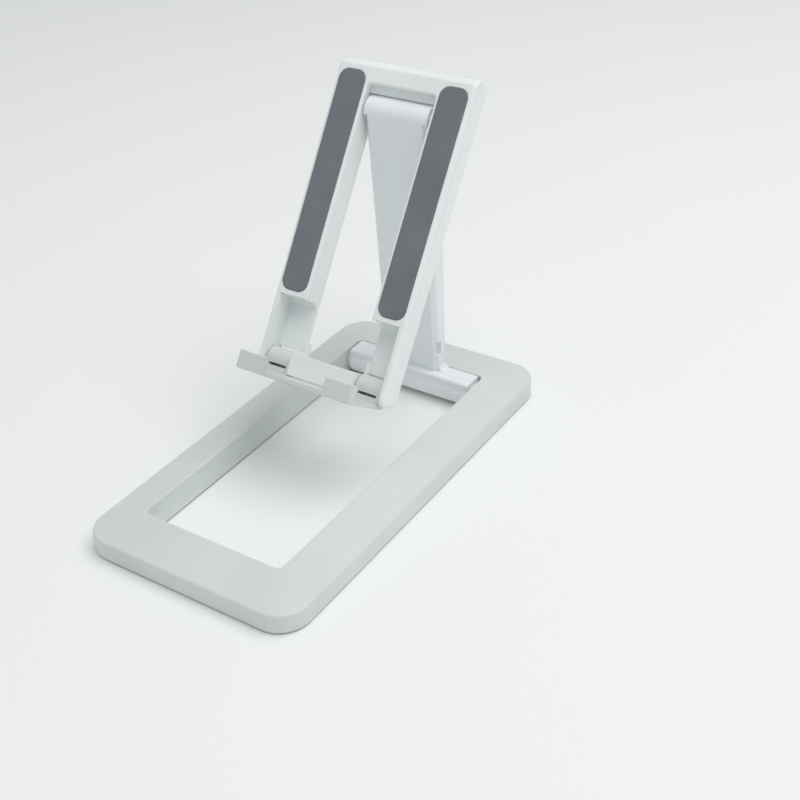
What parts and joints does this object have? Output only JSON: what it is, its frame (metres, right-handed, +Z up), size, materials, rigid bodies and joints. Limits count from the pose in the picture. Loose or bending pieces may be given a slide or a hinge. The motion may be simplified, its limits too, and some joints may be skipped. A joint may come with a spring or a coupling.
{
  "type": "tablet stand",
  "caption": "Folding tablet stand: a flat frame base, an upright arm on a friction hinge, and a padded U-shaped cradle with a fold-out lip, all folding flat into the frame.",
  "frame": {"origin": "on the table, under the centre of the whole stand", "axes": "+Z up, front of the stand towards -Y, hinge axes along X"},
  "size_m": [0.08, 0.15, 0.1152],
  "materials": {
    "white_plastic": "satin white moulded plastic",
    "white_plastic_cover": "satin white moulded plastic",
    "arm_plastic": "satin white moulded plastic",
    "cradle_plastic": "satin white moulded plastic",
    "lip_plastic": "satin warm white moulded plastic",
    "pad_rubber": "matt grey silicone rubber",
    "rubber_foot": "matt grey rubber",
    "zinc_steel": "zinc plated",
    "screw_steel": "zinc plated",
    "pin_steel": "ground",
    "spring_steel": "oiled",
    "bush_metal": "satin",
    "nylon_washer": "natural nylon"
  },
  "bodies": {
    "base": {"base_top_shell": "white_plastic", "base_bottom_cover": "white_plastic_cover", "base_weight_left": "zinc_steel", "base_weight_right": "zinc_steel", "base_screws": "screw_steel", "base_feet": "rubber_foot", "base_hinge_pin_left": "pin_steel", "base_hinge_pin_right": "pin_steel", "base_hinge_washers": "nylon_washer"},
    "arm": {"arm_body": "arm_plastic", "arm_rear_cover": "arm_plastic", "base_hinge_bushes": "bush_metal"},
    "cradle": {"cradle_rear_shell": "cradle_plastic", "cradle_front_plate": "cradle_plastic", "cradle_screws": "screw_steel", "pad_left": "pad_rubber", "pad_right": "pad_rubber", "upper_hinge_shaft": "pin_steel", "upper_hinge_washers": "nylon_washer", "upper_hinge_springs": "spring_steel", "upper_hinge_nuts": "screw_steel", "lip_pin_left": "pin_steel", "lip_pin_right": "pin_steel"},
    "lip": {"lip": "lip_plastic"}
  },
  "joints": [
    {"name": "arm_hinge", "type": "hinge", "parent": "base", "child": "arm", "pos_m": [0, 0.0523, 0.0053], "axis": [-1, 0, 0], "range_deg": [-90, 5]},
    {"name": "cradle_hinge", "type": "hinge", "parent": "arm", "child": "cradle", "pos_m": [0, 0.0523, 0.102], "axis": [-1, 0, 0], "range_deg": [-35.4, 44.6]},
    {"name": "lip_hinge", "type": "hinge", "parent": "cradle", "child": "lip", "pos_m": [0, 0.00384, 0.03277], "axis": [1, 0, 0], "range_deg": [-90, 0]}
  ]
}
